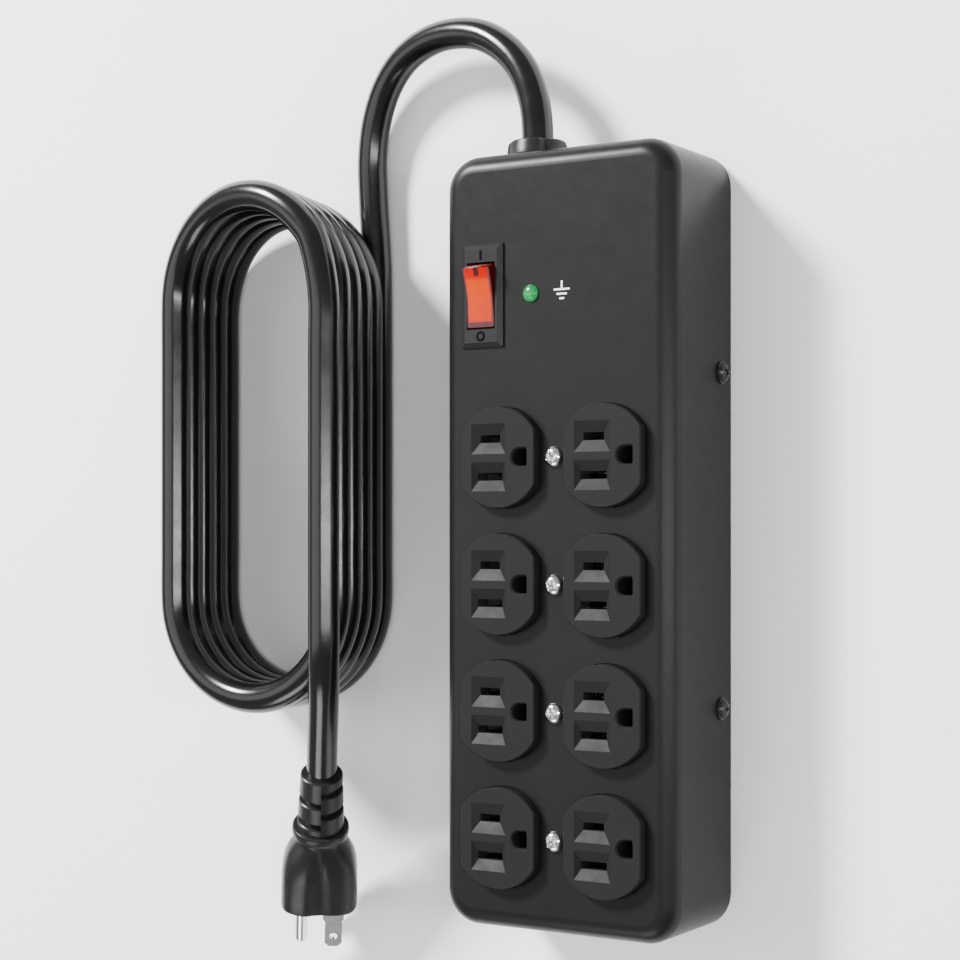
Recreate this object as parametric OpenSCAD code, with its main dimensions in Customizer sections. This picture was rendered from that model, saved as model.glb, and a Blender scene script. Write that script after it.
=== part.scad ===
// Eight-outlet power strip in a sheet-metal case, lying on its back.
// +X is the case width, +Y points to the cord end, +Z points out of the outlet side.
// The origin is the centre of the case's back. Units are millimetres.

/* [Case] */
// Case width across the two outlet columns
case_w = 88; // [86:1:96]
// Case length from the plain end to the cord end
case_l = 262; // [258:1:270]
// Case depth from the back to the front panel
case_d = 43.5; // [43.5:0.5:48]
// Sheet thickness of the front cover
sheet_t = 1.4; // [1.0:0.1:1.6]
// Outer radius of the rolled edge around the front panel
edge_r = 6.4; // [5:0.2:7.4]
// Plan radius of the case corners
corner_r = 12; // [10:0.5:14]
// Sheet thickness of the back plate
back_t = 1.2; // [0.8:0.1:1.4]

/* [Outlets] */
// Distance between the two outlet columns
column_gap = 39.6; // [39.2:0.1:40.4]
// Distance between outlet rows
row_pitch = 42.5; // [42:0.1:43]
// Y of the outlet row nearest the switch
first_row_y = 27.8; // [26:0.2:28.6]
// Diameter of one outlet face
face_d = 34; // [33.4:0.1:34.4]
// Width of one outlet face across its two flats
face_flat = 28.5; // [28:0.1:28.8]
// How far the outlet face stands out of the front panel
face_proud = 3.8; // [2.5:0.1:4.2]
// Diameter of the round ground opening of an outlet
ground_hole_d = 5.9; // [5.4:0.1:6.1]

/* [Switch] */
// X of the switch
switch_x = -27.4; // [-28:0.2:-26]
// Y of the switch
switch_y = 82.6; // [80:0.2:84]
// Tilt of the rocker to each side of level
rocker_tilt = 10; // [8:1:10]
// Thickness of the bezel on the front panel
bezel_t = 1.8; // [1.4:0.1:2.2]

/* [Indicator] */
// X of the indicator lens
led_x = -8.8; // [-9.4:0.2:-7]
// Y of the indicator lens
led_y = 82.5; // [80:0.5:86]
// Diameter of the indicator lens
led_d = 5.0; // [4.6:0.1:5.2]

/* [Screws] */
// Head diameter of the outlet centre screws
centre_head_d = 6.6; // [6:0.1:7]
// Head diameter of the side screws
side_head_d = 7.7; // [7:0.1:8]
// Y of the side screws, measured from the middle of the case
side_screw_y = 56.3; // [50:0.1:60]
// Height of the side screws above the back
side_screw_z = 7.5; // [7:0.1:8]
// Large diameter of the wall-hanging keyholes
keyhole_d = 8.6; // [8:0.1:10]
// Distance between the two wall-hanging keyholes
keyhole_gap = 170; // [160:5:180]

/* [Cord] */
// Outer diameter of the round cord
cord_d = 11; // [10.6:0.1:11]
// Vertical distance between the layers of the coiled cord
layer_h = 10.65; // [10.6:0.05:10.7]
// How far each lower layer of the coil leans away from the case
layer_lean = 2.85; // [2.6:0.05:3]

/* [Hidden] */
$fn = 32;

// Colours by material
steel_black = [0.10, 0.10, 0.105];
plastic_black = [0.13, 0.13, 0.135];
brass = [0.78, 0.62, 0.30];
bright = [0.80, 0.80, 0.82];

// Front panel and the outlet stack below it
panel_z = case_d;
panel_in_z = case_d - sheet_t;
face_top_z = panel_z + face_proud;
face_flange_z = 37.5;
face_flange_w = 76;
face_flange_l = 38;
base_z = 16;
base_top_z = 37.3;
base_w = 74;
base_l = 35;
strap_z = 36.0;
strap_t = 1.2;
strap_w = 6.2;
strap_half = 33;

// Blade and ground positions inside one outlet, measured from the face centre
blade_dx = -3.4;
blade_dy = 6.35;
ground_dx = 8.5;
hot_slot_w = 7.6;
neutral_slot_w = 9.6;
slot_h = 2.5;
funnel_w = 13.4;
funnel_h = 10.2;
funnel_deep = 1.7;
ground_flat_dx = 3.0;
channel_h = 4.0;
leaf_t = 0.7;
leaf_gap = 0.8;

// Centre screws
centre_shaft_r = 1.7;
centre_thread_r = 1.75;
centre_hole_r = 2.1;

// Side flanges of the back plate
flange_gap = 0.1;
flange_h = 13;
flange_l = 26;
side_shaft_r = 1.9;
side_thread_r = 1.95;

// Keyholes
keyhole_slot_r = 2.2;
keyhole_slot_l = 9;

// Switch
pivot_z = panel_z - 0.9;
rocker_r = 11.0;
rocker_w = 10.5;
rocker_end_z = 4.6;
rocker_mid_z = 3.6;
rocker_low_z = -1.8;
rocker_nub_r = 10.6;
opening_w = 11.1;
opening_l = 22.6;
bezel_w = 16.1;
bezel_l = 34.8;
housing_w = 13.6;
housing_l = 29.2;
housing_z = 22;
cutout_w = 14.0;
cutout_l = 29.8;
cavity_floor_z = 24;
pin_r = 1.0;
pin_hole_r = 1.05;
lever_z = 29.5;
lever_pin_r = 0.8;
lever_hole_r = 0.85;
lever_tilt = -6;
terminal_w = 6.3;
terminal_t = 0.8;
terminal_low_z = 12;
contact_y = 7.6;

// Bushing in the cord end wall
bushing_x = -19;
bushing_z = 21.5;
bushing_head_d = 21.8;
bushing_head_l = 6.4;
bushing_barrel_r = 8.6;
bushing_hole_r = 8.8;
bushing_bore_r = cord_d / 2 + 0.1;

// Coil: stadium-shaped turns stacked in layers
coil_top_x = -122;
coil_arc_y1 = 86.5;
coil_arc_y2 = -20.7;
coil_r = 36.4;
coil_layers = 5;
coil_first_z = cord_d / 2;

// Cord centre line from inside the case, over the arch and down into the coil
lead_points = [
  [-19, 113, 21.5], [-19, 126, 21.5], [-19, 141, 21.5], [-20.5, 152, 21.4], [-25, 163, 21],
  [-33, 172, 20], [-44, 178.5, 18.5], [-57, 181, 16.5], [-69.5, 180, 14.2],
  [-81, 175, 12], [-90, 166.5, 9.8], [-96, 155, 7.9], [-98.8, 142, 6.6],
  [-99, 128, 5.9], [-98.2, 114, 5.7], [-97.4, 102, 5.7], [-97.2, 92, 5.7]
];
// Cord centre line from the top of the coil to the plug
tail_points = [
  [-126, 122.6, 53.2], [-113, 122, 55.7], [-101, 117.5, 57.6], [-91.5, 109.5, 58.8],
  [-85.3, 98.5, 59.2], [-83, 86, 59.2], [-82.8, 66, 59.2], [-82.8, 44, 59.2],
  [-82.8, 20, 59.2], [-82.8, -4, 59.2], [-82.8, -24, 59.2], [-82.9, -36, 58.9],
  [-83.8, -43.7, 57.8], [-85.5, -51.2, 55.4], [-89.1, -61, 50.8],
  [-93.5, -72.3, 45.3], [-97.5, -83.2, 40.2]
];

// Plug: its axis runs from the cord end of the moulding towards the pin tips
plug_origin = [-97.5, -83.2, 40.2];
plug_axis = unit([-0.3143, -0.8607, -0.4003]);
plug_near = unit(cross(plug_axis, [0.8087, -0.0198, -0.5879]));
plug_right = cross(plug_near, plug_axis);
relief_l = 23;
relief_r1 = 7.6;
relief_r2 = 8.6;
relief_core_r = 6.3;
relief_slot_z = 3.7;
relief_slot_h = 2.5;
relief_slot_pitch = 9.3;
collar_l = 4;
collar_r = 10.6;
body_l = 31;
body_w = 28.4;
body_h = 22;
plug_l = relief_l + collar_l + body_l;
blade_w = 6.35;
blade_t = 1.5;
hot_blade_l = 17.3;
neutral_blade_w = 7.9;
pin_r_plug = 2.38;
pin_l = 21.2;
pin_dx = -6.4;
blades_dx = 5.5;
pin_root = 8;
pin_root_r = 1.9;

// ---------- helpers ----------

function row_y(i) = first_row_y - row_pitch * (i - 1);

function unit(v) = v / norm(v);

// Points of a smooth curve through a point list, sub steps between neighbours
function smooth(p, sub) = [
  for (i = [0 : len(p) - 2])
    let (
      a = p[max(i - 1, 0)],
      b = p[i],
      c = p[i + 1],
      d = p[min(i + 2, len(p) - 1)]
    )
    for (k = [0 : sub - 1])
      let (t = k / sub)
      0.5 * ((2 * b) + (c - a) * t + (2 * a - 5 * b + 4 * c - d) * t * t
        + (3 * b - a - 3 * c + d) * t * t * t),
  p[len(p) - 1]
];

function tangent(p, i) = unit(p[min(i + 1, len(p) - 1)] - p[max(i - 1, 0)]);

// Closed tube of n sides swept along a point list
module tube(p, r, n) {
  up = [0.03, 0.02, 1];
  rings = [
    for (i = [0 : len(p) - 1])
      let (t = tangent(p, i), s = unit(cross(t, up)), u = cross(s, t))
      for (k = [0 : n - 1])
        p[i] + r * (s * cos(360 * (k + 0.5) / n) + u * sin(360 * (k + 0.5) / n))
  ];
  m = len(p);
  polyhedron(
    points = rings,
    faces = concat(
      [[for (k = [0 : n - 1]) k]],
      [[for (k = [n - 1 : -1 : 0]) (m - 1) * n + k]],
      [
        for (i = [0 : m - 2])
          for (k = [0 : n - 1])
            [i * n + k, (i + 1) * n + k, (i + 1) * n + (k + 1) % n, i * n + (k + 1) % n]
      ]
    ),
    convexity = 6
  );
}

// Rounded rectangle made of squares and circles
module round_rect(w, l, r) {
  square([w - 2 * r, l], center = true);
  square([w, l - 2 * r], center = true);
  for (x = [-1, 1])
    for (y = [-1, 1])
      translate([x * (w / 2 - r), y * (l / 2 - r)])
        circle(r);
}

// Circle cut by two flats that are parallel to Y
module flatted(d, flat) {
  intersection() {
    circle(d / 2, $fn = 48);
    square([flat, d + 2], center = true);
  }
}

module box(x1, x2, y1, y2, z1, z2) {
  translate([x1, y1, z1])
    cube([x2 - x1, y2 - y1, z2 - z1]);
}

// Cylinder along X
module rod_x(r, x1, x2) {
  translate([x1, 0, 0])
    rotate([0, 90, 0])
      cylinder(r = r, h = x2 - x1);
}

// Cylinder along Y
module rod_y(r, y1, y2) {
  translate([0, y1, 0])
    rotate([-90, 0, 0])
      cylinder(r = r, h = y2 - y1);
}

// ---------- case ----------

// Wall section of the cover: upright wall, rolled edge and a strip of the panel
module wall_profile() {
  difference() {
    union() {
      square([corner_r, case_d - edge_r]);
      square([corner_r - edge_r, case_d]);
      translate([corner_r - edge_r, case_d - edge_r])
        circle(edge_r, $fn = 48);
    }
    translate([-1, -1])
      square([corner_r - sheet_t + 1, case_d - edge_r + 1]);
    translate([-1, -1])
      square([corner_r - edge_r + 1, case_d - sheet_t + 1]);
    translate([corner_r - edge_r, case_d - edge_r])
      circle(edge_r - sheet_t, $fn = 48);
  }
}

module shell() {
  cx = case_w / 2 - corner_r;
  cy = case_l / 2 - corner_r;
  for (q = [0 : 3])
    translate([(q == 0 || q == 3) ? cx : -cx, q < 2 ? cy : -cy, 0])
      rotate(q * 90)
        rotate_extrude(angle = 90, $fn = 48)
          wall_profile();
  for (s = [0, 180])
    rotate(s) {
      translate([cx, cy, 0])
        rotate([90, 0, 0])
          linear_extrude(2 * cy)
            wall_profile();
      translate([-cx, cy, 0])
        rotate([90, 0, 90])
          linear_extrude(2 * cx)
            wall_profile();
    }
  translate([0, 0, case_d - sheet_t / 2])
    cube([2 * cx, 2 * cy, sheet_t], center = true);
}

module front_cover() {
  color(steel_black)
    difference() {
      shell();
      for (i = [1 : 4])
        for (s = [-1, 1])
          translate([s * column_gap / 2, row_y(i), panel_in_z - 1])
            linear_extrude(sheet_t + 2)
              flatted(face_d + 0.6, face_flat + 0.6);
      for (i = [1 : 4])
        translate([0, row_y(i), panel_in_z - 1])
          cylinder(r = centre_hole_r, h = sheet_t + 2);
      translate([switch_x - cutout_w / 2, switch_y - cutout_l / 2, panel_in_z - 1])
        cube([cutout_w, cutout_l, sheet_t + 2]);
      translate([led_x, led_y, panel_in_z - 1])
        cylinder(r = led_d / 2 + 0.2, h = sheet_t + 2);
      for (y = [-1, 1])
        translate([0, y * side_screw_y, side_screw_z]) {
          rod_x(side_shaft_r + 0.3, case_w / 2 - sheet_t - 1, case_w / 2 + 1);
          rod_x(side_shaft_r + 0.3, -case_w / 2 - 1, -case_w / 2 + sheet_t + 1);
        }
      translate([bushing_x, 0, bushing_z])
        rod_y(bushing_hole_r, case_l / 2 - sheet_t - 1, case_l / 2 + 1);
    }
}

module back_plate() {
  inner_w = case_w - 2 * sheet_t - 2 * flange_gap;
  inner_l = case_l - 2 * sheet_t - 0.6;
  color(steel_black)
    difference() {
      union() {
        linear_extrude(back_t)
          round_rect(inner_w, inner_l, corner_r - sheet_t);
        for (x = [-1, 1])
          for (y = [-1, 1])
            translate([x * (inner_w / 2 - back_t / 2), y * side_screw_y, flange_h / 2])
              cube([back_t, flange_l, flange_h], center = true);
      }
      for (y = [-1, 1])
        translate([0, y * side_screw_y, side_screw_z])
          rod_x(side_thread_r, -case_w, case_w);
      for (y = [-1, 1])
        translate([0, y * keyhole_gap / 2, -1]) {
          cylinder(r = keyhole_d / 2, h = back_t + 2);
          translate([0, keyhole_slot_l, 0])
            cylinder(r = keyhole_slot_r, h = back_t + 2);
          box(-keyhole_slot_r, keyhole_slot_r, 0, keyhole_slot_l, 0, back_t + 2);
        }
      translate([24, 112, -1])
        cylinder(r = 1.75, h = back_t + 2);
    }
}

// Cylinder along X that tapers from r1 to r2
module cone_x(r1, r2, x1, x2) {
  translate([x1, 0, 0])
    rotate([0, 90, 0])
      cylinder(r1 = r1, r2 = r2, h = x2 - x1);
}

// One screw along +X with a domed head on a washer face
module side_screw() {
  head_r = side_head_d / 2;
  head_h = 2.4;
  difference() {
    union() {
      rod_x(side_shaft_r, -6, 0.5);
      rod_x(head_r, 0.1, 0.7);
      cone_x(head_r - 0.7, head_r - 1.0, 0.6, 1.8);
      cone_x(head_r - 1.0, head_r - 1.9, 1.8, head_h);
    }
    translate([head_h - 0.9, -1.8, -0.4])
      cube([2, 3.6, 0.8]);
    translate([head_h - 0.9, -0.4, -1.8])
      cube([2, 0.8, 3.6]);
  }
}

module side_screws() {
  color(steel_black)
    for (y = [-1, 1])
      for (m = [0, 1])
        translate([0, y * side_screw_y, side_screw_z])
          mirror([m, 0, 0])
            translate([case_w / 2, 0, 0])
              side_screw();
}

// Panel screw along +Z with a domed cross-slot head
module outlet_screws() {
  head_h = 2.0;
  dome_r = 4.0;
  color(bright)
    for (i = [1 : 4])
      translate([0, row_y(i), panel_z + 0.05]) {
        translate([0, 0, -11.5])
          cylinder(r = centre_shaft_r, h = 11.6);
        difference() {
          intersection() {
            cylinder(r = centre_head_d / 2, h = head_h + 1);
            translate([0, 0, head_h - dome_r])
              sphere(dome_r, $fn = 32);
          }
          translate([-1.9, -0.4, head_h - 1])
            cube([3.8, 0.8, 2]);
          translate([-0.4, -1.9, head_h - 1])
            cube([0.8, 3.8, 2]);
        }
      }
}

module insulation_sheet() {
  color([0.75, 0.72, 0.62])
    difference() {
      linear_extrude_at(back_t + 0.3, 0.6)
        square([64, 168], center = true);
      translate([0, -keyhole_gap / 2 + 4, 0])
        cylinder(r = 9, h = 6);
    }
}

// Sheet shifted to the outlet area of the back plate
module linear_extrude_at(z, h) {
  translate([0, -38, z])
    linear_extrude(h)
      children();
}

// ---------- outlets ----------

// Funnel that narrows from the face surface to a blade slot
module funnel(w) {
  intersection() {
    rotate([90, 0, 0])
      linear_extrude(funnel_h + 1, center = true)
        polygon([
          [-w / 2, -funnel_deep], [w / 2, -funnel_deep],
          [funnel_w / 2, 0], [funnel_w / 2, 1], [-funnel_w / 2, 1], [-funnel_w / 2, 0]
        ]);
    rotate([90, 0, 90])
      linear_extrude(funnel_w + 1, center = true)
        polygon([
          [-slot_h / 2, -funnel_deep], [slot_h / 2, -funnel_deep],
          [funnel_h / 2, 0], [funnel_h / 2, 1], [-funnel_h / 2, 1], [-funnel_h / 2, 0]
        ]);
  }
}

module outlet_face(i) {
  color(plastic_black)
    translate([0, row_y(i), 0])
      difference() {
        union() {
          translate([0, 0, (face_flange_z + panel_in_z) / 2 - 0.1])
            cube([face_flange_w, face_flange_l, panel_in_z - face_flange_z - 0.2], center = true);
          for (s = [-1, 1])
            translate([s * column_gap / 2, 0, face_flange_z])
              linear_extrude(face_top_z - face_flange_z)
                flatted(face_d, face_flat);
        }
        translate([0, 0, face_flange_z - 1])
          cylinder(r = centre_hole_r, h = 12);
        for (s = [-1, 1])
          translate([s * column_gap / 2, 0, 0]) {
            for (b = [-1, 1])
              translate([blade_dx, b * blade_dy, face_top_z]) {
                w = b > 0 ? hot_slot_w : neutral_slot_w;
                funnel(w);
                translate([0, 0, -7])
                  cube([w, slot_h, 14], center = true);
              }
            intersection() {
              translate([ground_dx, 0, face_flange_z - 1])
                cylinder(r = ground_hole_d / 2 + 0.35, h = 20);
              translate([ground_dx - 4, -ground_hole_d / 2, face_flange_z - 2])
                cube([4 + ground_flat_dx, ground_hole_d, 22]);
            }
          }
      }
}

module outlet_base(i) {
  color([0.20, 0.20, 0.21])
    translate([0, row_y(i), 0])
      difference() {
        translate([0, 0, (base_z + base_top_z) / 2])
          cube([base_w, base_l, base_top_z - base_z], center = true);
        for (b = [-1, 1]) {
          box(-33, 28, b * blade_dy - channel_h / 2, b * blade_dy + channel_h / 2,
            base_z + 1.6, base_top_z + 1);
          for (s = [-1, 1])
            translate([s * column_gap / 2 + blade_dx, b * (blade_dy - 0.1), base_top_z - 9])
              box(-5.2, 5.2, -2.2, 2.2, 0, 12);
          box(b < 0 ? 22.6 : -32.4, b < 0 ? 27.4 : -25.6,
            b * blade_dy - 0.9, b * blade_dy + 0.9, base_z - 1, base_z + 2);
        }
        box(-strap_half - 0.4, strap_half + 0.4, -strap_w / 2 - 0.3, strap_w / 2 + 0.3,
          strap_z - 0.2, base_top_z + 1);
        for (s = [-1, 1])
          translate([s * column_gap / 2 + ground_dx, 0, 19])
            cylinder(r = 3.5, h = 25);
        translate([0, 0, 29])
          cylinder(r = 2.6, h = 12);
      }
}

// Bus strip with two double-leaf grips, in one outlet unit
module contact_strip(side, tab_x1, tab_x2) {
  translate([0, side * blade_dy, 0]) {
    box(-31, 26, -leaf_gap - leaf_t, leaf_gap + leaf_t, 18.2, 19.2);
    for (s = [-1, 1])
      for (k = [-1, 1])
        translate([s * column_gap / 2 + blade_dx, k * (leaf_gap + leaf_t / 2), 26.6])
          cube([7, leaf_t, 15.2], center = true);
    box(tab_x1, tab_x2, -0.4, 0.4, 11.2, 18.6);
  }
}

module hot_contact(i) {
  color(brass)
    translate([0, row_y(i), 0])
      contact_strip(1, -31, -27);
}

module neutral_contact(i) {
  color(bright)
    translate([0, row_y(i), 0])
      contact_strip(-1, 23, 26);
}

// Grounding strap between face and base, with a tube under each ground opening
module ground_strap(i) {
  color(bright)
    translate([0, row_y(i), 0])
      difference() {
        union() {
          translate([0, 0, strap_z + strap_t / 2])
            cube([2 * strap_half, strap_w, strap_t], center = true);
          for (s = [-1, 1])
            translate([s * column_gap / 2 + ground_dx, 0, 20])
              cylinder(r = 3.1, h = strap_z + strap_t - 20);
          translate([0, 0, 33])
            cylinder(r = 2.5, h = 3.5);
        }
        for (s = [-1, 1])
          translate([s * column_gap / 2 + ground_dx, 0, 19])
            cylinder(r = 2.5, h = 25);
        translate([0, 0, 30])
          cylinder(r = centre_thread_r, h = 12);
      }
}

// ---------- switch ----------

module switch_housing() {
  slope = 1.6;
  side_slope = 1.7;
  color(plastic_black)
    translate([switch_x, switch_y, 0])
      difference() {
        union() {
          translate([0, 0, (housing_z + panel_z) / 2 + 0.05])
            cube([housing_w, housing_l, panel_z - housing_z + 0.1], center = true);
          intersection() {
            translate([0, 0, panel_z + 0.05])
              rotate([90, 0, 0])
                linear_extrude(bezel_l, center = true)
                  polygon([
                    [-bezel_w / 2, 0], [bezel_w / 2, 0], [bezel_w / 2, 0.6],
                    [bezel_w / 2 - side_slope, bezel_t], [-bezel_w / 2 + side_slope, bezel_t],
                    [-bezel_w / 2, 0.6]
                  ]);
            translate([0, 0, panel_z + 0.05])
              rotate([90, 0, 90])
                linear_extrude(bezel_w, center = true)
                  polygon([
                    [-bezel_l / 2, 0], [bezel_l / 2, 0], [bezel_l / 2, 0.6],
                    [bezel_l / 2 - slope, bezel_t], [-bezel_l / 2 + slope, bezel_t],
                    [-bezel_l / 2, 0.6]
                  ]);
          }
        }
        translate([0, 0, (cavity_floor_z + 60) / 2])
          cube([opening_w, opening_l, 60 - cavity_floor_z], center = true);
        translate([0, 0, pivot_z])
          rod_x(pin_hole_r, -6.4, 6.4);
        for (y = [-contact_y, 0, contact_y])
          box(-terminal_w / 2 - 0.1, terminal_w / 2 + 0.1, y - terminal_t / 2 - 0.1,
            y + terminal_t / 2 + 0.1, housing_z - 1, cavity_floor_z + 1);
      }
}

module switch_rocker() {
  color([1.0, 0.32, 0.16])
    translate([switch_x, switch_y, pivot_z])
      rotate([rocker_tilt, 0, 0])
        difference() {
          union() {
            intersection() {
              rod_x(rocker_r, -rocker_w / 2, rocker_w / 2);
              translate([-rocker_w / 2, 0, 0])
                rotate([90, 0, 90])
                  linear_extrude(rocker_w)
                    polygon([
                      [-12, rocker_low_z], [12, rocker_low_z], [12, rocker_end_z],
                      [9.99, rocker_end_z], [0, rocker_mid_z], [-9.99, rocker_end_z],
                      [-12, rocker_end_z]
                    ]);
            }
            rod_x(2.4, -rocker_w / 2, rocker_w / 2);
            box(-1.4, 1.4, -1.2, 1.2, -rocker_nub_r, 0);
          }
          rod_x(pin_hole_r, -rocker_w, rocker_w);
          for (s = [-1, 1])
            box(-rocker_w / 2 + 1.2, rocker_w / 2 - 1.2, s > 0 ? 3.4 : -9.2, s > 0 ? 9.2 : -3.4,
              rocker_low_z - 1, 1.8);
        }
}

module rocker_pin() {
  color(bright)
    translate([switch_x, switch_y, pivot_z])
      rod_x(pin_r, -6.3, 6.3);
}

module contact_lever() {
  color(brass)
    translate([switch_x, switch_y, lever_z])
      rotate([lever_tilt, 0, 0])
        difference() {
          union() {
            box(-2, 2, -8.4, 8.4, -0.4, 0.4);
            rod_x(1.6, -2, 2);
            translate([0, -7.4, -1.2])
              cylinder(r = 1.5, h = 1);
          }
          rod_x(lever_hole_r, -4, 4);
        }
}

// Centre terminal with two ears and the lever's hinge pin
module lever_cradle() {
  color(brass)
    translate([switch_x, switch_y, 0]) {
      box(-3.4, 3.4, -1.6, 1.6, cavity_floor_z + 0.1, cavity_floor_z + 0.9);
      for (s = [-1, 1])
        translate([s * 2.9, 0, (cavity_floor_z + lever_z + 2) / 2])
          cube([0.8, 3.2, lever_z + 2 - cavity_floor_z - 0.2], center = true);
      translate([0, 0, lever_z])
        rod_x(lever_pin_r, -3, 3);
      box(-terminal_w / 2, terminal_w / 2, -terminal_t / 2, terminal_t / 2,
        terminal_low_z, cavity_floor_z + 0.5);
    }
}

module fixed_contact() {
  color(brass)
    translate([switch_x, switch_y - contact_y, 0]) {
      box(-terminal_w / 2, terminal_w / 2, -terminal_t / 2, terminal_t / 2,
        terminal_low_z, cavity_floor_z + 0.5);
      box(-3, 3, -2.4, 2.4, cavity_floor_z + 0.1, cavity_floor_z + 0.9);
      translate([0, 0, cavity_floor_z + 0.8])
        cylinder(r = 1.7, h = 2.2);
    }
}

module lamp_terminal() {
  color(bright)
    translate([switch_x, switch_y + contact_y, 0]) {
      box(-terminal_w / 2, terminal_w / 2, -terminal_t / 2, terminal_t / 2,
        terminal_low_z, cavity_floor_z + 0.5);
      box(-3, 3, -0.6, 2.6, cavity_floor_z + 0.1, cavity_floor_z + 0.9);
      for (s = [-1, 1])
        box(s * 2.4 - 0.3, s * 2.4 + 0.3, 1.6, 2.2, cavity_floor_z + 0.5, 33.2);
    }
}

module switch_lamp() {
  color([1.0, 0.55, 0.30])
    translate([switch_x, switch_y + 9.0, 35.0]) {
      rod_x(1.6, -3.6, 3.6);
      translate([3.6, 0, 0])
        sphere(1.6, $fn = 24);
    }
}

// ---------- indicator ----------

module led_lens() {
  color([0.25, 0.85, 0.50])
    translate([led_x, led_y, 0]) {
      translate([0, 0, 36])
        cylinder(r = led_d / 2, h = panel_z - 36 + 0.2);
      translate([0, 0, panel_z + 0.05])
        cylinder(r = led_d / 2 + 0.4, h = 0.6);
      intersection() {
        translate([0, 0, panel_z + 0.5])
          cylinder(r = led_d / 2, h = 4);
        translate([0, 0, panel_z - 0.6])
          sphere(led_d / 2 + 0.4, $fn = 32);
      }
    }
}

module indicator_board() {
  color([0.10, 0.35, 0.18])
    box(led_x - 6.5, led_x + 7, led_y - 9, led_y + 9, 34.2, 35.8);
}

module board_resistor() {
  color([0.75, 0.62, 0.42])
    translate([led_x + 1, led_y, 32.6]) {
      rod_y(1.2, -3.4, 3.4);
      rod_y(0.3, -6, 6);
      for (s = [-1, 1])
        translate([0, s * 6, -0.3])
          cylinder(r = 0.3, h = 1.85);
    }
}

// ---------- cord ----------

module cord_bushing() {
  color(plastic_black)
    translate([bushing_x, 0, bushing_z])
      difference() {
        union() {
          rod_y(bushing_head_d / 2, case_l / 2 + 0.05, case_l / 2 + bushing_head_l - 1);
          rod_y(bushing_head_d / 2 - 1, case_l / 2 + bushing_head_l - 1.1, case_l / 2 + bushing_head_l);
          rod_y(bushing_barrel_r, case_l / 2 - 11, case_l / 2 + 1);
          rod_y(bushing_hole_r + 1, case_l / 2 - sheet_t - 2, case_l / 2 - sheet_t - 0.3);
        }
        rod_y(bushing_bore_r, case_l / 2 - 20, case_l / 2 + 20);
      }
}

module cord_lead() {
  color([0.05, 0.05, 0.055])
    tube(smooth(lead_points, 3), cord_d / 2, 12);
}

// One flat turn of the coil, seen from above
module turn_outline(r) {
  for (y = [coil_arc_y1, coil_arc_y2])
    translate([0, y])
      circle(r, $fn = 48);
  translate([-r, coil_arc_y2])
    square([2 * r, coil_arc_y1 - coil_arc_y2]);
}

module cord_coil() {
  color([0.05, 0.05, 0.055])
    for (j = [0 : coil_layers - 1]) {
      low = j == 0 ? 0 : coil_first_z + layer_h * (j - 0.5);
      high = coil_first_z + layer_h * (j + 0.5);
      translate([coil_top_x - layer_lean * (coil_layers - 1 - j), 0, low])
        linear_extrude(high - low)
          difference() {
            turn_outline(coil_r + cord_d / 2);
            turn_outline(coil_r - cord_d / 2);
          }
    }
}

module cord_tail() {
  color([0.05, 0.05, 0.055])
    tube(smooth(tail_points, 3), cord_d / 2, 12);
}

// ---------- plug ----------

// Places children with +Z along the plug axis, +X to the blades and +Y to the near side
module at_plug() {
  r = plug_right;
  n = plug_near;
  a = plug_axis;
  o = plug_origin;
  multmatrix([
    [r[0], n[0], a[0], o[0]],
    [r[1], n[1], a[1], o[1]],
    [r[2], n[2], a[2], o[2]],
    [0, 0, 0, 1]
  ])
    children();
}

module plug_body() {
  grip_z = relief_l + collar_l;
  color(plastic_black)
    at_plug()
      difference() {
        union() {
          translate([0, 0, 0.1])
            cylinder(r1 = relief_r1, r2 = relief_r2, h = relief_l);
          translate([0, 0, relief_l - 0.2])
            cylinder(r = collar_r, h = collar_l);
          intersection() {
            translate([0, 0, grip_z - 0.5])
              rotate([90, 0, 0])
                linear_extrude(body_h + 4, center = true)
                  polygon([
                    [-8.6, 0], [8.6, 0], [13.2, 12], [body_w / 2, 17], [body_w / 2, body_l - 1],
                    [body_w / 2 - 1, body_l + 0.5], [-body_w / 2 + 1, body_l + 0.5],
                    [-body_w / 2, body_l - 1], [-body_w / 2, 17], [-13.2, 12]
                  ]);
            translate([0, 0, grip_z - 1])
              linear_extrude(body_l + 2)
                round_rect(body_w + 1, body_h, 7);
          }
        }
        for (k = [0, 1])
          for (m = [-1, 1])
            translate([0, 0, (m > 0 ? relief_slot_z : relief_slot_z + relief_slot_pitch / 2)
                + k * relief_slot_pitch])
              difference() {
                translate([m * 6, 0, relief_slot_h / 2])
                  cube([12, 24, relief_slot_h], center = true);
                cylinder(r = relief_core_r, h = 12, center = true);
              }
        translate([pin_dx, 0, plug_l - pin_root])
          cylinder(r = pin_root_r + 0.05, h = 20);
        for (m = [-1, 1])
          translate([blades_dx, m * blade_dy, plug_l - pin_root])
            translate([0, 0, 10])
              cube([(m < 0 ? neutral_blade_w : blade_w) + 0.1, blade_t + 0.1, 20], center = true);
      }
}

// Flat blade with a round hole and chamfered tip
module blade(w) {
  root = plug_l - pin_root + 0.1;
  tip = plug_l + hot_blade_l;
  difference() {
    rotate([90, 0, 0])
      linear_extrude(blade_t, center = true)
        polygon([
          [-w / 2, root], [w / 2, root], [w / 2, tip - 1.6], [w / 2 - 1.6, tip],
          [-w / 2 + 1.6, tip], [-w / 2, tip - 1.6]
        ]);
    translate([0, 0, tip - 4.8])
      rotate([90, 0, 0])
        cylinder(r = 1.55, h = 6, center = true, $fn = 24);
  }
}

module plug_hot_blade() {
  color(bright)
    at_plug()
      translate([blades_dx, blade_dy, 0])
        blade(blade_w);
}

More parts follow.
